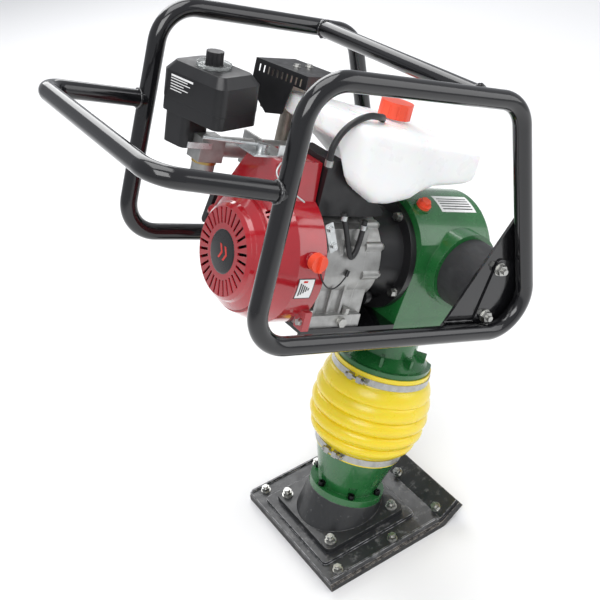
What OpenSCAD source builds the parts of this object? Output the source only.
// Jumping jack rammer: a petrol engine drives a crank gear whose rod beats a sprung foot on the ground.
// Millimetres, +Z up, +X the direction of travel, +Y the machine's left.
// The origin is on the ground, at the centre of the flat part of the shoe's sole.
// Everything above the shoe is drawn upright in the leg frame (x along the engine shaft, z up the leg)
// and then leaned forward in one step by lean().

/* [Leg and stroke] */
// forward lean of the leg, degrees
lean_deg = 22; // [10:1:26]
// crank throw, half the stroke of the ram
crank_throw = 20; // [10:1:25]
// height of the crank gear's axis along the leg
crank_z = 506; // [480:1:540]
// height of the engine shaft along the leg
engine_z = 598; // [580:1:640]
// outside radius of the guide cylinder
guide_r = 50; // [44:1:54]
// widest radius of the bellows
bellows_r = 117; // [100:1:120]
// number of bellows folds
bellows_folds = 5; // [3:1:7]

/* [Shoe] */
// width across the shoe
shoe_w = 308; // [260:2:340]
// length of the flat part of the sole
sole_flat = 275; // [220:5:300]
// angle of the turned-up toe, degrees
toe_deg = 32; // [20:1:50]
// length of the toe along its slope
toe_len = 56; // [30:2:80]
// thickness of the sole
sole_t = 16; // [10:1:30]
// thickness of the steel plate on the sole
plate_t = 8; // [5:1:12]

/* [Engine] */
// radius of the fan cover
fan_r = 118; // [105:1:125]
// radius of the slotted recoil face
recoil_r = 79; // [70:1:90]
// number of radial recoil slots
recoil_slots = 30; // [12:1:36]
// half width of the crankcase
case_half_w = 74; // [60:1:85]
// lean of the engine cylinder from upright, degrees
cylinder_deg = 62; // [45:1:70]

/* [Frame] */
// outside diameter of the frame tube
tube_d = 30; // [25:1:34]
// distance between the centre lines of the two side loops
loop_w = 438; // [400:2:480]
// bend radius of the loops, on the centre line
loop_bend = 62; // [45:1:80]
// bend radius of the grip, on the centre line
grip_bend = 42; // [32:1:70]
// length of the fuel tank
tank_len = 301; // [241:2:311]
// width of the fuel tank
tank_w = 196; // [150:2:200]

/* [Hidden] */
// gap between bodies that move against each other
gap = 0.4;
leg_foot_x = -22;
tube_r = tube_d / 2;
half_loop = loop_w / 2;
sole_rear_x = -sole_flat / 2;
sole_front_x = sole_flat / 2;
plate_z = sole_t + plate_t;
pad_t = 6;
pad_len = 218;
pad_w = 222;
pad_z = plate_z + pad_t;
casting_t = 12;
casting_z = pad_z + casting_t;

flange_z = 78;
flange_t = 14;
flange_r = 76;
seat_r = 84;
seat_z0 = 176;
seat_z1 = 206;
sleeve_top_z = 300;
sleeve_bore_r = guide_r + 0.05;
neck_z0 = 356;
neck_z1 = 384;
guide_bot_z = 214;
guide_bore_r = 44;

crank_pin_r = 9;
rod_len = 120;
wrist_z = crank_z - crank_throw - rod_len;
slot_floor_z = wrist_z - 2 * crank_throw - 20;
gear_teeth = 70;
pinion_teeth = 14;
gear_pitch_r = (engine_z - crank_z) * gear_teeth / (gear_teeth + pinion_teeth);
pinion_pitch_r = (engine_z - crank_z) * pinion_teeth / (gear_teeth + pinion_teeth);
tooth_h = 4.4;
gear_x0 = 34;
gear_t = 18;
bearing_x = 59;
bearing_t = 12;
// bearing seats of the front cover, as [height of the axis, outer radius]
bearing_seats = [[crank_z, 32], [engine_z, 22]];
rear_seat_r = 26;
journal_r = 20;
shaft_r = 10;

housing_x0 = -88;
housing_x1 = 72;
dome_r = 115;
belly_r = 92;
shoulder_y = 102;
wall_t = 7;
boss_r = 70;
mount_x = 10;
mount_z = 610;
mount_r = 62;
boss_y0 = 90;
boss_y = 124;
mount_y = 196;

case_x0 = -288;
case_x1 = -186;
cover_x1 = -152;
base_z = 496;
foot_half_w = 88;
foot_t = 22;
case_r = 84;
case_top_z = 668;
recoil_x = -413;
recoil_rim_r = 95;
fan_x0 = -386;
fan_x1 = -292;
fan_top_z = 768;
switch_x = -318;
switch_z = engine_z + 34;
shell_t = 3;

loop_rear_x = -478;
loop_low_z = 542;
loop_top_z = 936;
loop_front_x = 98;
loop_front_top_x = -88;
grip_x = -668;
grip_z = 788;
grip_w = 400;
grip_join_z = 778;
cross_x = -166;
cross_z = loop_top_z;

tank_x = -149.5;
tank_z0 = 700;
tank_z1 = 852;
tank_fall = 26;
cap_x = -135;
cap_r = 28;
cap_z = 841;

$fn = 48;

// ---------- frames and small shared shapes ----------

// Leans everything above the shoe forward about the foot of the leg.
module lean() {
    translate([leg_foot_x, 0, 0]) rotate([0, lean_deg, 0]) children();
}

// A cylinder along +X, starting at x.
module x_cyl(x, y, z, r, len) {
    translate([x, y, z]) rotate([0, 90, 0]) cylinder(r = r, h = len);
}

// A cylinder along +Y, starting at y.
module y_cyl(x, y, z, r, len) {
    translate([x, y, z]) rotate([-90, 0, 0]) cylinder(r = r, h = len);
}

// A block given by its two opposite corners.
module block(from, to) {
    translate(from) cube(to - from);
}

// A flat rectangle with round corners, centred.
module round_rect(w, h, r) {
    square([w - 2 * r, h], center = true);
    square([w, h - 2 * r], center = true);
    for (sx = [-1, 1], sy = [-1, 1])
        translate([sx * (w / 2 - r), sy * (h / 2 - r)]) circle(r = r);
}

// A hexagon head bolt pointing along +Z, its washer at z = 0.
module hex_bolt(af, head_h, washer_r) {
    cylinder(r = washer_r, h = 1.6);
    translate([0, 0, 1.6]) cylinder(d = af / cos(30), h = head_h, $fn = 6);
}

// The same bolt laid along +X.
module x_hex_bolt(x, y, z, af, head_h, washer_r) {
    translate([x, y, z]) rotate([0, 90, 0]) hex_bolt(af, head_h, washer_r);
}

// A stud with a washer and a nut, along +Z.
module stud_nut(af, stud_r, stud_h) {
    hex_bolt(af, 8, af * 0.68);
    cylinder(r = stud_r, h = stud_h);
}

// ---------- bent tube in the XZ plane ----------

function unit2(v) = v / norm(v);
function heading(v) = atan2(v[1], v[0]);
function turn_at(a, b, c) =
    let (t = heading(c - b) - heading(b - a)) t > 180 ? t - 360 : (t < -180 ? t + 360 : t);
function tangent_len(a, b, c, r) = r * tan(abs(turn_at(a, b, c)) / 2);

// An elbow is a hair fatter than the straight runs, and each run reaches a little way into it.
elbow_swell = 0.06;
run_overlap = 0.4;

// One elbow of the tube, at corner b of the path a-b-c.
module elbow(a, b, c, bend, r) {
    turn = turn_at(a, b, c);
    side = turn > 0 ? 1 : -1;
    start = b - unit2(b - a) * tangent_len(a, b, c, bend);
    translate(start) rotate(heading(b - a)) translate([0, side * bend])
        rotate(turn > 0 ? -90 : 90 + turn)
            rotate_extrude(angle = abs(turn)) translate([bend, 0]) circle(r = r + elbow_swell);
}

// A straight run of the tube between two points of the path.
module run(from, to, r) {
    translate(from) rotate(heading(to - from)) rotate([0, 90, 0]) cylinder(r = r, h = norm(to - from));
}

// A closed tube through the given [x, z] corners, standing in the plane y = 0.
module closed_tube(corners, bend, r) {
    n = len(corners);
    rotate([90, 0, 0])
        for (i = [0 : n - 1]) {
            a = corners[(i + n - 1) % n];
            b = corners[i];
            c = corners[(i + 1) % n];
            d = corners[(i + 2) % n];
            elbow(a, b, c, bend, r);
            run(b + unit2(c - b) * (tangent_len(a, b, c, bend) - run_overlap),
                c - unit2(c - b) * (tangent_len(b, c, d, bend) - run_overlap), r);
        }
}

// An open tube through the given corners, bent at each inner one, in the XY plane.
module open_tube(corners, bend, r) {
    last = len(corners) - 1;
    for (i = [0 : last - 1]) {
        b = corners[i];
        c = corners[i + 1];
        u = unit2(c - b);
        cut_b = i == 0 ? 0 : tangent_len(corners[i - 1], b, c, bend) - run_overlap;
        cut_c = i + 1 == last ? 0 : tangent_len(b, c, corners[i + 2], bend) - run_overlap;
        run(b + u * cut_b, c - u * cut_c, r);
        if (i + 1 < last) elbow(b, c, corners[i + 2], bend, r);
    }
}

// ---------- shoe ----------

// Side outline of a layer that follows the sole and its turned-up toe.
module shoe_layer(z0, t) {
    toe_dir = [cos(toe_deg), sin(toe_deg)];
    toe_nrm = [-sin(toe_deg), cos(toe_deg)];
    knee = [sole_front_x - z0 * tan(toe_deg / 2), z0];
    knee_top = [sole_front_x - (z0 + t) * tan(toe_deg / 2), z0 + t];
    tip = [sole_front_x, 0] + toe_dir * toe_len + toe_nrm * z0;
    polygon([[sole_rear_x, z0], knee, tip, tip + toe_nrm * t, knee_top, [sole_rear_x, z0 + t]]);
}

// Extrudes a side outline, drawn as [x, z], across the machine.
module across(w) {
    translate([0, w / 2, 0]) rotate([90, 0, 0]) linear_extrude(height = w) children();
}

shoe_bolt_y = 134;
shoe_bolt_x = [-108, 22];
toe_bolt_s = 17;

// Places children at every shoe bolt, upright on the flat and square to the toe.
module at_shoe_bolts() {
    for (sy = [-1, 1]) {
        for (x = shoe_bolt_x)
            translate([x, sy * shoe_bolt_y, plate_z]) children();
        on_toe(toe_bolt_s, sy * (shoe_bolt_y - 8)) children();
    }
    on_toe(toe_bolt_s, 0) children();
}

// Places children on the top face of the toe, s along the slope.
module on_toe(s, y) {
    translate([sole_front_x, y, 0]) rotate([0, -toe_deg, 0]) translate([s, 0, plate_z]) children();
}

module shoe_sole() {
    color("#26272a") difference() {
        across(shoe_w) shoe_layer(0, sole_t);
        for (sy = [-1, 1])
            block([sole_rear_x - 5, sy * shoe_w / 2 - 3, sole_t - 4],
                  [sole_front_x - 12, sy * shoe_w / 2 + 3, sole_t + 1]);
    }
}

module shoe_plate() {
    pad_x = leg_foot_x + 8;
    color("#2c2d30") {
        difference() {
            across(shoe_w - 8) shoe_layer(sole_t, plate_t);
            at_shoe_bolts() translate([0, 0, -20]) cylinder(r = 6.2, h = 30);
        }
        difference() {
            translate([pad_x, 0, plate_z]) linear_extrude(height = pad_t) round_rect(pad_len, pad_w, 8);
            at_foot_nuts(plate_z - 5) cylinder(r = 6.2, h = 30);
        }
        for (sy = [-1, 1])
            block([sole_rear_x + 4, sy * (shoe_w / 2 - 6) - 2, plate_z],
                  [sole_front_x - 14, sy * (shoe_w / 2 - 6) + 2, plate_z + 4]);
    }
}

module shoe_bolts() {
    color("#c3c4c2") at_shoe_bolts() stud_nut(15, 5, 13);
}

// Places children at the four corners of the foot casting's flange, at height z.
module at_foot_nuts(z) {
    for (sx = [-1, 1], sy = [-1, 1])
        translate([leg_foot_x + 10 + sx * 74, sy * 79, z]) children();
}

module foot_casting() {
    color("#232427") {
        difference() {
            translate([leg_foot_x + 10, 0, pad_z])
                linear_extrude(height = casting_t) round_rect(186, 196, 14);
            at_foot_nuts(pad_z - 5) cylinder(r = 6.2, h = 30);
        }
        difference() {
            lean() cylinder(r1 = 90, r2 = flange_r, h = flange_z);
            translate([-200, -200, -100]) cube([400, 400, 100 + casting_z]);
            lean() translate([0, 0, flange_z - 10]) cylinder(r = 54, h = 20);
        }
    }
}

module foot_nuts() {
    color("#c3c4c2") at_foot_nuts(casting_z) stud_nut(17, 6, 15);
}

// ---------- leg ----------

cyl_bolt_r = 66;
pocket_z = flange_z + flange_t - 1;

// Places children on the spring cylinder's bolt circle.
module at_cylinder_bolts(z) {
    for (i = [0 : 5]) rotate(i * 60) translate([cyl_bolt_r, 0, z]) children();
}

module spring_cylinder() {
    color("#1f7a33") lean() difference() {
        union() {
            translate([0, 0, flange_z]) cylinder(r = flange_r, h = flange_t);
            translate([0, 0, flange_z + flange_t])
                cylinder(r1 = 60, r2 = seat_r, h = seat_z0 - flange_z - flange_t);
            translate([0, 0, seat_z0]) cylinder(r = seat_r, h = seat_z1 - seat_z0);
            translate([0, 0, seat_z1]) cylinder(r = sleeve_bore_r + 6, h = sleeve_top_z - seat_z1);
        }
        translate([0, 0, flange_z - 1]) cylinder(r = sleeve_bore_r, h = sleeve_top_z);
        at_cylinder_bolts(pocket_z) cylinder(r = 8.5, h = 24);
        at_cylinder_bolts(flange_z - 1) cylinder(r = 4.2, h = 30);
    }
}

module cylinder_bolts() {
    color("#1b1c1e") lean() at_cylinder_bolts(pocket_z) difference() {
        cylinder(r = 6.5, h = 9);
        translate([0, 0, 4]) cylinder(d = 7, h = 6, $fn = 6);
    }
}

// A band clamp around the leg with its T-bolt block on the rear left.
module band_clamp(z, r, block_deg) {
    difference() {
        translate([0, 0, z]) cylinder(r = r + 1.6, h = 13);
        translate([0, 0, z - 1]) cylinder(r = r, h = 15);
        rotate(block_deg) block([r - 5, -4, z - 1], [r + 5, 4, z + 15]);
    }
    rotate(block_deg)
        for (sy = [-1, 1]) {
            block([r + 1.2, sy * 9.5 - 5, z + 0.5], [r + 9, sy * 9.5 + 5, z + 12.5]);
        }
    rotate(block_deg) {
        y_cyl(r + 5.5, -4.5, z + 6.5, 3, 9);
        y_cyl(r + 5.5, 14.5, z + 6.5, 3, 13);
        y_cyl(r + 5.5, 15.5, z + 6.5, 5.5, 6);
        y_cyl(r + 5.5, -19.5, z + 6.5, 5, 5);
    }
}

lower_band_z = 181;
upper_band_z = 352;
bellows_t = 2.6;

module lower_clamp() {
    color("#b9bbba") lean() band_clamp(lower_band_z, seat_r + bellows_t, 196);
}

module upper_clamp() {
    color("#b9bbba") lean() band_clamp(upper_band_z, neck_flange_r + bellows_t, 202);
}

// Side outline of the bellows, [radius, height], folds rounded by a sine.
neck_flange_r = 92;
fold_steps = 8;
bellows_z0 = 196;
bellows_z1 = 350;
function bellows_pts(inset) = [
    for (i = [0 : bellows_folds * fold_steps])
        let (u = i / (bellows_folds * fold_steps),
             swell = pow(sin(180 * u), 0.5),
             base_r = (1 - u) * seat_r + u * neck_flange_r + bellows_t,
             top_r = bellows_r - 5 * u)
        [base_r + (top_r - base_r) * swell * (0.84 + 0.16 * sin(180 * (u * bellows_folds % 1))) - inset,
         bellows_z0 + u * (bellows_z1 - bellows_z0)]
];

module bellows() {
    outer = bellows_pts(0);
    inner = [for (i = [len(outer) - 1 : -1 : 0]) outer[i] - [bellows_t, 0]];
    color("#f2d51f") lean() {
        rotate_extrude() polygon(concat(outer, inner));
        for (cuff = [[seat_z0 + 1, bellows_z0, seat_r], [bellows_z1, neck_z1 - 10, neck_flange_r]])
            translate([0, 0, cuff[0]]) difference() {
                cylinder(r = cuff[2] + bellows_t, h = cuff[1] - cuff[0]);
                translate([0, 0, -1]) cylinder(r = cuff[2] + 0.02, h = cuff[1] - cuff[0] + 2);
            }
    }
}

piston_z = 150;
piston_t = 22;
spring_r = 37;
wire_r = 4;
spring_turns = 4;

// A spring drawn as a stack of closed rings, held between two heights.
module ring_spring(z0, z1) {
    pitch = (z1 - z0 - 2 * wire_r) / spring_turns;
    for (i = [0 : spring_turns])
        translate([0, 0, z0 + wire_r + i * pitch])
            rotate_extrude() translate([spring_r, 0]) circle(r = wire_r);
    for (i = [0 : spring_turns - 1])
        rotate(i * 140) translate([spring_r, 0, z0 + wire_r + i * pitch])
            cylinder(r = wire_r * 0.7, h = pitch);
}

module rammer_springs() {
    color("#7d8184") lean() {
        ring_spring(flange_z - 9.5, piston_z - 0.5);
        ring_spring(piston_z + piston_t + 0.5, guide_bot_z - 4);
    }
}

// ---------- gear housing ----------

// End outline of the gear housing, [y, z]: a dome over a belly that narrows to the neck.
module housing_outline(inset) {
    intersection() {
        translate([0, engine_z]) circle(r = dome_r - inset, $fn = 96);
        translate([-shoulder_y + inset, engine_z]) square([2 * (shoulder_y - inset), 300]);
    }
    translate([0, crank_z]) circle(r = belly_r - inset, $fn = 96);
    polygon([[-belly_r + inset, crank_z], [belly_r - inset, crank_z],
             [shoulder_y - inset, engine_z + 1], [-shoulder_y + inset, engine_z + 1]]);
}

// Extrudes a [y, z] outline along the shaft.
module along_shaft(x0, x1) {
    translate([x0, 0, 0]) rotate([90, 0, 90]) linear_extrude(height = x1 - x0) children();
}

neck_ribs = 8;
plug_seat_r = dome_r + 3;

// Turns children out to where the oil plug sits on the dome.
module at_oil_plug() {
    translate([-62, 0, engine_z]) rotate([26, 0, 0]) children();
}

module gear_housing() {
    color("#1f7a33") lean() difference() {
        union() {
            along_shaft(housing_x0, housing_x1) housing_outline(0);
            for (sy = [-1, 1])
                y_cyl(mount_x, sy > 0 ? boss_y0 : -boss_y, mount_z, boss_r, boss_y - boss_y0);
            translate([0, 0, neck_z1]) cylinder(r = 58, h = 60);
            translate([0, 0, neck_z1]) cylinder(r1 = 84, r2 = 58, h = 16);
            for (i = [0 : neck_ribs - 1])
                rotate(i * 360 / neck_ribs) block([50, -3, neck_z1], [78, 3, neck_z1 + 22]);
            at_oil_plug() cylinder(r = 16, h = plug_seat_r);
            translate([0, 0, neck_z0 - 6]) cylinder(r = neck_flange_r, h = neck_z1 - neck_z0 + 6);
        }
        along_shaft(housing_x0 + 12, housing_x1 + 1) housing_outline(wall_t);
        block([housing_x1, -200, 300], [housing_x1 + 40, 200, 900]);
        translate([0, 0, neck_z0 - 10]) cylinder(r = guide_bore_r, h = 120);
        translate([0, 0, neck_z0 - 10]) cylinder(r = guide_r, h = 34);
        x_cyl(housing_x0 - 1, 0, engine_z, rear_seat_r, 20);
        at_clutch_bolts() x_cyl(housing_x0 - 1, 0, 0, 3.8, 8);
    }
}

module housing_cover() {
    color("#1f7a33") lean() {
        difference() {
            along_shaft(housing_x1, housing_x1 + 6) housing_outline(0);
            for (p = cover_bolt_yz) x_cyl(housing_x1 - 1, p[0], p[1], 3.6, 12);
        }
        x_cyl(housing_x1 + 6, 0, crank_z, 44, 8);
        x_cyl(housing_x1 + 6, 0, engine_z, 26, 6);
        for (seat = bearing_seats)
            difference() {
                x_cyl(bearing_x, 0, seat[0], seat[1] + 5, housing_x1 - bearing_x);
                x_cyl(bearing_x - 1, 0, seat[0], seat[1], 20);
            }
    }
}

// Bolt positions of the front cover, as [y, z].
cover_bolt_yz = [
    for (a = [20, 60, 120, 160]) [108 * cos(a) * 0.88, engine_z + 108 * sin(a)],
    for (a = [-10, -50, -130, -170]) [84 * cos(a), crank_z + 84 * sin(a)]
];

clutch_flange_r = 102;
clutch_flange_x = -100;
clutch_bolt_r = 93;
drum_r = 57;
drum_x0 = -142;
drum_x1 = -108;

// Places children at the clutch housing's flange bolts, at x = 0 of the shaft.
module at_clutch_bolts() {
    for (a = [28, 118, 208, 298])
        translate([0, clutch_bolt_r * cos(a), engine_z + clutch_bolt_r * sin(a)]) children();
}

module housing_bolts() {
    color("#b5b7b6") lean() {
        for (p = cover_bolt_yz) x_hex_bolt(housing_x1 + 6, p[0], p[1], 10, 6, 6.5);
        at_clutch_bolts() translate([clutch_flange_x, 0, 0]) rotate([0, -90, 0]) hex_bolt(13, 9, 8);
    }
}

module oil_plug() {
    color("#c4202a") lean() at_oil_plug() translate([0, 0, plug_seat_r]) {
        cylinder(r = 13, h = 6);
        translate([0, 0, 6]) cylinder(d = 19, h = 7, $fn = 6);
    }
}

module guide_cylinder() {
    color("#a9adb0") lean() difference() {
        translate([0, 0, guide_bot_z]) cylinder(r = guide_r, h = neck_z0 + 24 - guide_bot_z);
        translate([0, 0, guide_bot_z - 1]) cylinder(r = guide_bore_r, h = 200);
    }
}

module rubber_mounts() {
    color("#1b1b1d") lean()
        for (sy = [-1, 1])
            y_cyl(mount_x, sy > 0 ? boss_y : -(mount_y - gap), mount_z, mount_r, mount_y - gap - boss_y);
}

module clutch_housing() {
    color("#1d1e20") lean() difference() {
        union() {
            x_cyl(clutch_flange_x, 0, engine_z, clutch_flange_r, housing_x0 - clutch_flange_x);
            translate([cover_x1, 0, engine_z]) rotate([0, 90, 0])
                cylinder(r1 = 68, r2 = 82, h = clutch_flange_x - cover_x1);
        }
        x_cyl(cover_x1 - 1, 0, engine_z, drum_r + 3, 80);
        at_clutch_bolts() x_cyl(clutch_flange_x - 20, 0, 0, 4.2, 40);
    }
}

// ---------- crank, rod and ram ----------

// A toothed wheel outline with straight-sided teeth.
module gear_outline(teeth, pitch_r) {
    root_r = pitch_r - tooth_h / 2;
    tip_r = pitch_r + tooth_h / 2 - 0.5;
    half = 360 / teeth * 0.21;
    polygon([
        for (i = [0 : teeth - 1])
            let (a = i * 360 / teeth)
            each [[root_r * cos(a - 1.25 * half), root_r * sin(a - 1.25 * half)],
                  [tip_r * cos(a - half * 0.6), tip_r * sin(a - half * 0.6)],
                  [tip_r * cos(a + half * 0.6), tip_r * sin(a + half * 0.6)],
                  [root_r * cos(a + 1.25 * half), root_r * sin(a + 1.25 * half)]]
    ]);
}

// A bearing drawn as one ring, bored for a running fit on its shaft.
module bearing(x, z, outer_r, shaft_r) {
    difference() {
        x_cyl(x, 0, z, outer_r, bearing_t);
        x_cyl(x - 1, 0, z, shaft_r + 0.03, bearing_t + 2);
    }
}

module crank_bearings() {
    color("#9ea2a6") lean() {
        bearing(bearing_x, crank_z, bearing_seats[0][1], journal_r);
        bearing(bearing_x, engine_z, bearing_seats[1][1], shaft_r);
        bearing(housing_x0, engine_z, rear_seat_r, shaft_r);
    }
}

module crank_gear() {
    color("#8d9194") lean() {
        difference() {
            translate([gear_x0, 0, crank_z]) rotate([90, 0, 90])
                linear_extrude(height = gear_t) gear_outline(gear_teeth, gear_pitch_r);
            for (a = [0 : 60 : 300])
                translate([gear_x0 - 1, 0, crank_z]) rotate([a + 90, 0, 0]) x_cyl(0, 0, 48, 11, gear_t + 2);
        }
        x_cyl(gear_x0 + gear_t, 0, crank_z, journal_r, bearing_x + bearing_t - gear_x0 - gear_t);
        x_cyl(gear_x0 - 18, 0, crank_z, 26, 18);
        x_cyl(-16, 0, crank_z - crank_throw, crank_pin_r, 36);
    }
}

module connecting_rod() {
    color("#a3a7aa") lean() difference() {
        union() {
            x_cyl(-12, 0, crank_z - crank_throw, 17, 24);
            x_cyl(-9, 0, wrist_z, 13, 18);
            block([-6, -9, wrist_z], [6, 9, crank_z - crank_throw]);
        }
        x_cyl(-20, 0, crank_z - crank_throw, crank_pin_r + 0.04, 40);
        x_cyl(-20, 0, wrist_z, 7, 40);
    }
}

module ram() {
    color("#b4b8bb") lean() {
        difference() {
            union() {
                translate([0, 0, slot_floor_z - 10]) cylinder(r = guide_bore_r - 0.05, h = 30);
                intersection() {
                    translate([0, 0, slot_floor_z - 10])
                        cylinder(r = guide_bore_r - 0.05, h = wrist_z + 22 - slot_floor_z);
                    block([-24, -40, slot_floor_z], [24, 40, wrist_z + 14]);
                }
            }
            block([-9.5, -60, slot_floor_z], [9.5, 60, wrist_z + 60]);
        }
        for (sx = [-1, 1])
            x_cyl(sx > 0 ? 9.35 : -10, 0, wrist_z, 6.5, 0.65);
        translate([0, 0, piston_z + piston_t]) cylinder(r = 16, h = slot_floor_z - 10 - piston_z - piston_t);
        translate([0, 0, piston_z]) cylinder(r = guide_bore_r - 2, h = piston_t);
    }
}

// ---------- drive ----------

module pinion_shaft() {
    color("#8d9194") lean() {
        translate([gear_x0 - 2, 0, engine_z]) rotate([90, 0, 90])
            linear_extrude(height = gear_t + 4) rotate(180 / pinion_teeth)
                gear_outline(pinion_teeth, pinion_pitch_r);
        x_cyl(gear_x0 + gear_t + 2, 0, engine_z, shaft_r, bearing_x + bearing_t - gear_x0 - gear_t - 2);
        x_cyl(drum_x1 - 4, 0, engine_z, shaft_r, gear_x0 - 2 - drum_x1 + 4);
    }
}

module clutch_drum() {
    color("#6f7376") lean() difference() {
        x_cyl(drum_x0, 0, engine_z, drum_r, drum_x1 - drum_x0);
        x_cyl(drum_x0 - 1, 0, engine_z, drum_r - 5, drum_x1 - drum_x0 - 3);
        x_cyl(drum_x0 - 2, 0, engine_z, shaft_r, 60);
    }
}

module crankshaft() {
    color("#8d9194") lean() {
        x_cyl(-196, 0, engine_z, 12.5, 68);
        for (x = [-232, -208]) x_cyl(x, 0, engine_z, 34, 12);
        x_cyl(-220, 0, engine_z + 18, 12, 12);
        x_cyl(-344, 0, engine_z, 12.5, 112);
    }
}

module clutch_shoes() {
    color("#55585b") lean() {
        difference() {
            x_cyl(-138, 0, engine_z, 20, 20);
            x_cyl(-139, 0, engine_z, 12.5, 22);
        }
        for (a = [0, 120, 240])
            translate([-138, 0, engine_z]) rotate([a, 0, 0]) difference() {
                intersection() {
                    x_cyl(0, 0, 0, drum_r - 8, 20);
                    block([-1, -drum_r, 14], [30, drum_r, drum_r]);
                }
                x_cyl(-1, 0, 0, 20, 30);
                for (sy = [-1, 1])
                    rotate([sy * 52, 0, 0]) block([-2, sy > 0 ? -1 : -60, 0], [40, sy > 0 ? 60 : 1, 90]);
            }
    }
}

fan_blades = 16;

module flywheel() {
    color("#85898c") lean() difference() {
        union() {
            x_cyl(-344, 0, engine_z, 92, 22);
            for (i = [0 : fan_blades - 1])
                translate([-362, 0, engine_z]) rotate([i * 360 / fan_blades, 0, 0])
                    block([0, -2, 50], [18, 2, 88]);
        }
        x_cyl(-345, 0, engine_z, 12.5, 30);
    }
}

// ---------- engine castings ----------

module crankcase() {
    color("#b3b5b4") lean() difference() {
        union() {
            block([case_x0, -case_half_w, base_z + foot_t - 2], [case_x1, case_half_w, case_top_z]);
            block([case_x0 - 2, -foot_half_w, base_z], [case_x1, foot_half_w, base_z + foot_t]);
            x_cyl(case_x0, 0, engine_z, case_r, case_x1 - case_x0);
            for (x = case_rib_x)
                block([x, -case_half_w - 6, base_z + foot_t], [x + 5, -case_half_w, case_top_z - 18]);
        }
        block([case_x0 + 12, -case_half_w + 10, base_z + 12], [case_x1 + 1, case_half_w - 10, 660]);
        x_cyl(case_x0 - 1, 0, engine_z, 13, 20);
        for (x = mount_bolt_x, sy = [-1, 1]) translate([x, sy * 81, base_z - 1]) cylinder(r = 4.2, h = 40);
    }
}

mount_bolt_x = [case_x0 + 14, case_x1 - 12];
case_rib_x = [case_x0 + 22, case_x0 + 50, case_x0 + 76];

// Round bosses around the edge of the crankcase cover, as [y, z].
case_boss_yz = [for (a = [18, 66, 124, 152, 186, 314, 350]) [80 * cos(a), engine_z + 80 * sin(a)]];

module crankcase_cover() {
    color("#bcbebd") lean() difference() {
        union() {
            x_cyl(case_x1, 0, engine_z, case_r, cover_x1 - case_x1);
            block([case_x1, -case_half_w, base_z + 2], [cover_x1 - 8, case_half_w, engine_z]);
            block([case_x1, -foot_half_w, base_z], [case_x1 + 18, foot_half_w, base_z + foot_t]);
            for (p = case_boss_yz) x_cyl(case_x1, p[0], p[1], 9, cover_x1 - case_x1);
        }
        x_cyl(case_x1 - 1, 0, engine_z, 74, 16);
        x_cyl(case_x1 - 2, 0, engine_z, 13, 60);
    }
}

module engine_bolts() {
    color("#c6c7c5") lean() {
        for (p = case_boss_yz) x_hex_bolt(cover_x1, p[0], p[1], 10, 5, 6);
        for (x = mount_bolt_x, sy = [-1, 1])
            translate([x, sy * 81, base_z + foot_t]) hex_bolt(12, 9, 6.8);
        translate([case_x1 - 24, -foot_half_w, base_z + foot_t / 2]) rotate([90, 0, 0]) hex_bolt(15, 8, 9);
        for (sy = [-1, 1])
            translate([fan_x1 - 14, sy * 103, base_z + 22]) rotate([0, -90, 0]) hex_bolt(10, 5, 6);
        at_muffler() for (x = [-10, 22]) translate([x, 2, guard_z + guard_t]) hex_bolt(10, 4, 7);
    }
}

module engine_base_plate() {
    color("#202124") lean() {
        difference() {
            block([fan_x1 + 1, -92, base_z - 8], [housing_x0, 92, base_z]);
            for (x = mount_bolt_x, sy = [-1, 1])
                translate([x, sy * 81, base_z - 10]) cylinder(r = 4.2, h = 12);
        }
        for (sy = [-1, 1])
            block([fan_x1 + 1, sy * 89 - 3, base_z - 34], [housing_x0, sy * 89 + 3, base_z - 8]);
    }
}

// Leans the cylinder, its head and rocker cover over to the machine's left.
module at_cylinder() {
    translate([-238, 0, engine_z]) rotate([-cylinder_deg, 0, 0]) children();
}

fin_count = 9;
fin_pitch = 9;

module cylinder_block() {
    color("#a9abaa") lean() difference() {
        union() {
            at_cylinder() {
                translate([0, 0, 78]) cylinder(r = 40, h = 96);
                for (i = [0 : fin_count - 1])
                    translate([0, 0, 88 + i * fin_pitch]) linear_extrude(height = 3) round_rect(102, 104, 12);
            }
        }
        x_cyl(case_x0 - 20, 0, engine_z, case_r, 200);
        block([case_x0, -case_half_w, base_z], [case_x1, case_half_w, case_top_z]);
    }
}

module rocker_cover() {
    color("#c2c3c2") lean() at_cylinder() {
        translate([0, 0, 174]) linear_extrude(height = 6) round_rect(92, 92, 14);
        translate([0, 0, 180]) linear_extrude(height = 18) round_rect(76, 70, 14);
    }
}

module cooling_shroud() {
    color("#1c1d1f") lean()
        translate([0, 34, 0]) rotate([90, 0, 0]) linear_extrude(height = 92)
            polygon([[-290, 684], [-290, 776], [-262, 778], [-154, 694], [-154, 686], [-186, 684]]);
}

// The fan cover's raised top, leading the cooling air over to the cylinder, as [y, z].
module engine_top_outline(inset) {
    polygon([[-58 + inset, engine_z], [-44 + inset, fan_top_z - inset], [30 - inset, fan_top_z - inset],
             [94 - inset, engine_z + 70], [fan_r - inset, engine_z]]);
}

fan_taper = 42;

// The round part of the fan cover, narrower at the recoil starter.
module fan_drum(inset, reach) {
    translate([fan_x0, 0, engine_z]) rotate([0, 90, 0]) {
        cylinder(r1 = recoil_rim_r + 4 - inset, r2 = fan_r - inset, h = fan_taper, $fn = 96);
        translate([0, 0, fan_taper])
            cylinder(r = fan_r - inset, h = fan_x1 - fan_x0 - fan_taper + reach, $fn = 96);
    }
}

slot_w = 4.5;
slot_len = 10;
slot_rows = 2;
slots_per_row = 5;

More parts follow.
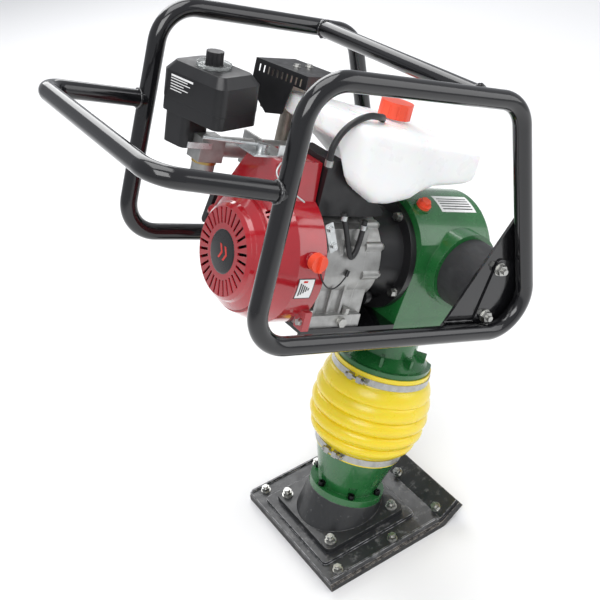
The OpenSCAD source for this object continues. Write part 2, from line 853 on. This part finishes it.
module fan_cover() {
    color("#c3202b") lean() difference() {
        union() {
            fan_drum(0, 0);
            along_shaft(fan_x0 + 6, fan_x1) engine_top_outline(0);
            for (y = [-100, 100])
                block([fan_x1 - 14, y - 12, base_z + 8], [fan_x1, y + 12, engine_z - 60]);
            y_cyl(switch_x, -fan_r, switch_z, 13, 7);
            at_recoil_guide() translate([0, 0, recoil_rim_r]) cylinder(r = 12, h = fan_r - recoil_rim_r);
        }
        difference() {
            fan_drum(shell_t, 1);
            block([fan_x0 - 1, -200, 300], [fan_x0 + shell_t, 200, 900]);
        }
        along_shaft(fan_x0 + 6 + shell_t, fan_x1 + 1) engine_top_outline(shell_t);
        x_cyl(fan_x0 - 1, 0, engine_z, recoil_rim_r, 10);
        for (row = [0 : slot_rows - 1], k = [0 : slots_per_row - 1])
            translate([fan_x0 + 2.5 + row * (slot_len + 4), 0, engine_z]) rotate([30 + k * 5, 0, 0])
                block([0, -slot_w / 2, recoil_rim_r - 6], [slot_len, slot_w / 2, fan_r + 6]);
        for (k = [0 : slots_per_row - 1])
            translate([fan_x0 + 2.5, 0, engine_z]) rotate([92 + k * 5, 0, 0])
                block([0, -slot_w / 2, recoil_rim_r - 6], [slot_len, slot_w / 2, fan_r + 6]);
    }
}

// Side outline of the recoil cover, [radius, depth].
module recoil_profile(inset) {
    polygon([[0, inset], [recoil_r - 6 - inset, inset], [recoil_r - inset, 5 + inset / 2],
             [recoil_r + 3 - inset, 12], [recoil_rim_r - inset, 22], [recoil_rim_r - inset, 34], [0, 34]]);
}

module recoil_cover() {
    color("#c3202b") lean() difference() {
        translate([recoil_x, 0, engine_z]) rotate([0, 90, 0]) rotate_extrude() recoil_profile(0);
        translate([recoil_x + 0.01, 0, engine_z]) rotate([0, 90, 0]) rotate_extrude() recoil_profile(3);
        for (i = [0 : recoil_slots - 1])
            translate([recoil_x - 2, 0, engine_z]) rotate([i * 360 / recoil_slots, 0, 0])
                block([0, -2.25, 46], [8, 2.25, recoil_r - 7]);
    }
}

handle_deg = 76;

// Turns children out along the recoil cord, from the engine shaft.
module at_recoil_guide() {
    translate([fan_x0 + 14, 0, engine_z]) rotate([-handle_deg, 0, 0]) children();
}

module recoil_handle() {
    color("#161618") lean() at_recoil_guide() {
        translate([-7.5, 0, fan_r + 8.5]) rotate([90, 0, 90])
            linear_extrude(height = 15) round_rect(64, 13, 6);
        translate([0, 0, fan_r + gap]) cylinder(r = 6, h = 4);
    }
}

module stop_switch() {
    color("#ef4a2c") lean() {
        y_cyl(switch_x, -fan_r - 14, switch_z, 15, 14 - gap);
        block([switch_x - 3, -fan_r - 19, switch_z - 13], [switch_x + 3, -fan_r - 13, switch_z + 13]);
    }
}

wire_path = [
    [-290, -112, 622], [-284, -118, 604], [-268, -118, 588],
    [-250, -108, 588], [-238, -96, 602], [-236, -82, 620]
];

// A thin wire through the given points, with a bead at each bend.
module wire(points, r) {
    for (i = [0 : len(points) - 2]) {
        d = points[i + 1] - points[i];
        translate(points[i]) rotate([0, acos(d[2] / norm(d)), atan2(d[1], d[0])])
            cylinder(r = r, h = norm(d));
        if (i > 0) translate(points[i]) sphere(r = r + 0.2);
    }
}

module stop_wire() {
    color("#101012") lean() wire(wire_path, 1.4);
}

module oil_filler_cap() {
    color("#151517") lean() {
        x_cyl(cover_x1, -62, base_z + 42, 13, 8);
        x_cyl(cover_x1 + 8, -62, base_z + 42, 9, 6);
    }
}

module spark_plug() {
    color("#18181a") lean() {
        translate([-176, 0, engine_z]) rotate([-cylinder_deg, 0, 0]) {
            translate([0, 0, 150]) cylinder(r = 7, h = 12);
            translate([0, 0, 162]) cylinder(r = 10, h = 26);
        }
    }
}

// ---------- carburettor, controls and air cleaner ----------

carb_x = -400;
carb_y = 96;
carb_z = 744;

module carburettor() {
    color("#b7a26a") lean() {
        translate([carb_x - 22, carb_y, carb_z - 46]) cylinder(r = 19, h = 22);
        block([carb_x - 44, carb_y - 20, carb_z - 24], [carb_x, carb_y + 20, carb_z + 16]);
        x_cyl(carb_x, carb_y, carb_z - 2, 17, 140);
        block([carb_x + 62, carb_y - 30, carb_z - 34], [carb_x + 66, carb_y + 30, carb_z + 22]);
    }
}

module choke_lever() {
    color("#c9cbca") lean() {
        y_cyl(carb_x - 34, carb_y - 28, carb_z + 6, 4, 7.7);
        block([carb_x - 74, carb_y - 30, carb_z + 1], [carb_x - 30, carb_y - 28, carb_z + 11]);
    }
}

bracket_x = -380;
bracket_z = fan_top_z;

module control_bracket() {
    color("#9fa3a5") lean() {
        block([bracket_x - 34, -32, bracket_z], [bracket_x + 34, 30, bracket_z + 3]);
        block([bracket_x + 8, -32, bracket_z + 3], [bracket_x + 34, -29, bracket_z + 20]);
        translate([bracket_x - 8, -8, bracket_z + 3]) cylinder(r = 8, h = 6);
    }
}

module throttle_lever() {
    color("#d0d2d1") lean() translate([bracket_x - 8, -8, bracket_z + 9 + gap]) {
        cylinder(r = 9, h = 5);
        rotate(168) x_cyl(4, 0, 2.6, 2.5, 92);
    }
}

cleaner_x = -430;
cleaner_y = 99;
cleaner_z = 812;
cleaner_yaw = 15;
cleaner_pitch = -7;
cleaner_len = 92;
cleaner_w = 136;
cleaner_wall_h = 43;
cleaner_top = 58;

// Places children on the air cleaner's middle line, z above the joint of its two halves.
module at_cleaner(z) {
    translate([cleaner_x, cleaner_y, cleaner_z]) rotate([0, cleaner_pitch, cleaner_yaw])
        translate([0, 0, z]) children();
}

module air_cleaner_base() {
    color("#17181a") lean() {
        at_cleaner(-22) linear_extrude(height = 21.6) round_rect(cleaner_len - 2, cleaner_w - 2, 14);
        difference() {
            at_cleaner(-74) translate([-14, 34, 0]) linear_extrude(height = 52) round_rect(54, 54, 12);
            block([carb_x - 46, 0, 0], [carb_x + 4, carb_y + 24, carb_z + 16]);
        }
    }
}

module air_cleaner_cover() {
    color("#1b1c1e") lean() difference() {
        union() {
            at_cleaner(0) linear_extrude(height = cleaner_wall_h) round_rect(cleaner_len, cleaner_w, 16);
            at_cleaner(cleaner_wall_h)
                linear_extrude(height = cleaner_top - cleaner_wall_h, scale = [0.76, 0.82])
                    round_rect(cleaner_len, cleaner_w, 16);
        }
        at_cleaner(-1) linear_extrude(height = 46) round_rect(cleaner_len - 16, cleaner_w - 16, 10);
        at_cleaner(40) cylinder(r = 4.04, h = 20);
    }
}

module air_cleaner_knob() {
    color("#141416") lean() at_cleaner(cleaner_top + gap) {
        difference() {
            cylinder(r = 14, h = 24);
            for (i = [0 : 11]) rotate(i * 30) translate([14.6, 0, 4]) cylinder(r = 1.6, h = 30);
        }
        translate([0, 0, -6]) cylinder(r = 4, h = 6);
    }
}

module dust_dish() {
    color("#d8dcdc") lean() at_cleaner(cleaner_top) difference() {
        cylinder(r = 28, h = 6);
        translate([0, 0, 1.5]) cylinder(r = 26, h = 7);
        translate([0, 0, -1]) cylinder(r = 16, h = 7);
    }
}

// ---------- muffler ----------

muffler_x = -272;
muffler_y = 98;
muffler_yaw = 16;

// Turns children about the middle of the muffler guard.
module at_muffler() {
    translate([muffler_x, muffler_y, 0]) rotate(muffler_yaw) children();
}

module muffler() {
    color("#77736c") lean() {
        at_muffler() translate([8, 30, 806]) linear_extrude(height = 70) round_rect(84, 46, 20);
        translate([-250, 134, 726]) cylinder(r = 15, h = 80);
        at_muffler() x_cyl(50, 30, 846, 10, 24);
    }
}

guard_z = 882;
guard_t = 2.5;
guard_half_x = 50;
guard_half_y = 57;
guard_tip_z = 804;
guard_skirt = 20;
guard_slots = 10;

// Rear face of the guard as [across, z], cut away slantwise at its far lower corner.
guard_face = [
    [guard_half_y, guard_z], [guard_half_y, 835], [14, guard_tip_z], [-20, 812],
    [-30, guard_z - guard_skirt], [-guard_half_y, guard_z - guard_skirt], [-guard_half_y, guard_z]
];

module muffler_guard() {
    color("#202124") lean() at_muffler() difference() {
        union() {
            block([-guard_half_x, -guard_half_y, guard_z], [guard_half_x, guard_half_y, guard_z + guard_t]);
            block([-guard_half_x, -guard_half_y, guard_z - guard_skirt],
                  [guard_half_x, guard_t - guard_half_y, guard_z]);
            along_shaft(-guard_half_x, guard_t - guard_half_x) polygon(guard_face);
            block([-24, 12, 876], [30, 48, guard_z]);
        }
        for (i = [0 : guard_slots - 1])
            translate([-guard_half_x - 1, -46 + i * 10, guard_z - 17]) cube([5, 4.5, 12]);
    }
}

// ---------- frame ----------

loop_corners = [
    [loop_rear_x, loop_low_z], [loop_front_x, loop_low_z],
    [loop_front_top_x, loop_top_z], [loop_rear_x, loop_top_z]
];

module side_loop(side) {
    color("#17181a") lean() translate([0, side * half_loop, 0]) closed_tube(loop_corners, loop_bend, tube_r);
}

module near_loop() {
    side_loop(-1);
}

module far_loop() {
    side_loop(1);
}

module cross_tube() {
    color("#17181a") lean() difference() {
        y_cyl(cross_x, -half_loop, cross_z, tube_r - 0.5, loop_w);
        for (sy = [-1, 1]) x_cyl(cross_x - 40, sy * half_loop, cross_z, tube_r, 80);
    }
}

// The grip lies in a plane that rises a little to the rear; it is drawn flat and tipped.
module operator_grip() {
    arm = norm([grip_x - loop_rear_x, grip_z - grip_join_z]);
    tip_deg = atan2(grip_z - grip_join_z, loop_rear_x - grip_x);
    side_run = (loop_w - grip_w) / 2;
    color("#17181a") lean() difference() {
        translate([loop_rear_x, 0, grip_join_z]) rotate([0, tip_deg, 0])
            open_tube([[0, -half_loop], [-arm, -half_loop + side_run],
                       [-arm, half_loop - side_run], [0, half_loop]], grip_bend, tube_r - 0.5);
        for (sy = [-1, 1])
            translate([loop_rear_x, sy * half_loop, grip_join_z - 60]) cylinder(r = tube_r, h = 120);
    }
}

gusset_y = half_loop - tube_r;
gusset_t = 5;
clamp_t = 3;
mount_bolt_dz = 43;

// Plate outlines around the rubber mount, drawn as [x, z].
module gusset_outline() {
    difference() {
        polygon([[-92, loop_low_z + 4], [loop_front_x - 66, loop_low_z + 4],
                 [loop_front_x - 18, loop_low_z + 40], [loop_front_x - 34, 600], [1, 742]]);
        for (s = [-1, 1]) translate([mount_x - 12, mount_z + s * mount_bolt_dz]) circle(r = 5.2);
    }
}

// Stands an [x, z] outline up as a plate between two distances from the middle, on one side.
module side_plate(side, y0, y1) {
    translate([0, side > 0 ? y1 : -y0, 0]) rotate([90, 0, 0]) linear_extrude(height = y1 - y0) children();
}

module gussets() {
    color("#1a1b1d") lean()
        for (side = [-1, 1]) {
            side_plate(side, gusset_y - gusset_t, gusset_y) gusset_outline();
            side_plate(side, mount_y, gusset_y - gusset_t)
                translate([mount_x, mount_z]) circle(r = mount_r - 6);
            side_plate(side, gusset_y, gusset_y + clamp_t)
                translate([mount_x - 6, mount_z]) rotate(-8) round_rect(44, 118, 8);
        }
}

module mount_bolts() {
    color("#c6c7c5") lean()
        for (sy = [-1, 1], s = [-1, 1])
            translate([mount_x - 12, sy * (gusset_y + clamp_t), mount_z + s * mount_bolt_dz])
                rotate([sy > 0 ? -90 : 90, 0, 0]) stud_nut(17, 5, 16);
}

// Side outline of the tank, [x from its middle, z]: its top falls to the front, and it rises to the rear
// over the engine's shroud and to the front over the gear housing.
tank_half = tank_len / 2;
tank_mid_z = 790;
tank_outline = [
    [-tank_half, tank_z1 - 22], [-tank_half, tank_z1 - 42], [-tank_half + 36, tank_z1 - 58], [-33, 732],
    [-4, 724], [39, 738], [59, 746], [tank_half - 12, 746], [tank_half, 758],
    [tank_half, tank_z1 - tank_fall - 20], [tank_half - 22, tank_z1 - tank_fall], [-tank_half + 20, tank_z1]
];

// The near side of the tank hangs lower than the rest, as a sump.
sump_outline = [
    [-tank_half + 12, 762], [-108, 740], [-54, 712], [-26, 711], [15, 721], [32, 734], [62, 746], [62, 800],
    [-tank_half + 12, 800]
];
sump_y0 = -66;

// Plan of the tank, shrunk towards its middle by the factor k; its near rear corner is cut off for the hose.
module tank_plan(k) {
    translate([tank_x, 0, tank_z0]) linear_extrude(height = tank_z1 - tank_z0) difference() {
        round_rect(tank_len * k, tank_w * k, 44);
        translate([-tank_half, -30] * k) rotate(-57) translate([-40, -60]) square([160, 60]);
    }
}

// The tank without its sump; k shrinks it towards its middle to give the hollow.
module tank_body(k, kz) {
    intersection() {
        tank_plan(k);
        across(tank_w + 10)
            polygon([for (p = tank_outline) [tank_x + p[0] * k, tank_mid_z + (p[1] - tank_mid_z) * kz]]);
    }
}

module tank_sump() {
    intersection() {
        tank_plan(1);
        translate([tank_x, sump_y0, 0]) rotate([90, 0, 0]) linear_extrude(height = 60) polygon(sump_outline);
    }
}

module fuel_tank() {
    color("#eceeee") lean() difference() {
        union() {
            tank_body(1, 1);
            tank_sump();
            translate([cap_x, 0, cap_z - 14]) cylinder(r = 21, h = 23);
        }
        tank_body(0.972, 0.92);
        translate([cap_x, 0, cap_z - 20]) cylinder(r = 17, h = 40);
    }
}

module fuel_cap() {
    color("#ef4a2c") lean() translate([cap_x, 0, cap_z + gap]) difference() {
        cylinder(r = cap_r, h = 27);
        translate([0, 0, -1]) cylinder(r = 21 + gap, h = 10.4);
        for (i = [0 : 11]) rotate(i * 30) translate([cap_r + 1.2, 0, -1]) cylinder(r = 2.4, h = 23);
    }
}

hose_y = -70;
hose_r = 6;
hose_bend = 14;
hose_top_z = tank_z1 + 14;
hose_end_x = -196;
hose_end_z = 845;

module fuel_hose() {
    color("#1a1a1c") lean() translate([0, hose_y, 0]) rotate([90, 0, 0])
        open_tube([[-300, 768], [-306, 820], [-280, hose_top_z], [hose_end_x, hose_top_z],
                   [hose_end_x, hose_end_z]],
                  hose_bend, hose_r);
}

// ---------- output ----------

shoe_sole();
shoe_plate();
shoe_bolts();
foot_casting();
foot_nuts();
spring_cylinder();
cylinder_bolts();
lower_clamp();
bellows();
rammer_springs();
gear_housing();
housing_cover();
housing_bolts();
oil_plug();
guide_cylinder();
upper_clamp();
rubber_mounts();
clutch_housing();
crank_bearings();
crank_gear();
connecting_rod();
ram();
pinion_shaft();
clutch_drum();
crankshaft();
clutch_shoes();
flywheel();
crankcase();
crankcase_cover();
engine_bolts();
engine_base_plate();
cylinder_block();
rocker_cover();
cooling_shroud();
fan_cover();
recoil_cover();
recoil_handle();
stop_switch();
stop_wire();
oil_filler_cap();
spark_plug();
carburettor();
choke_lever();
throttle_lever();
control_bracket();
air_cleaner_base();
air_cleaner_cover();
air_cleaner_knob();
dust_dish();
muffler();
muffler_guard();
near_loop();
far_loop();
cross_tube();
operator_grip();
gussets();
mount_bolts();
fuel_tank();
fuel_cap();
fuel_hose();
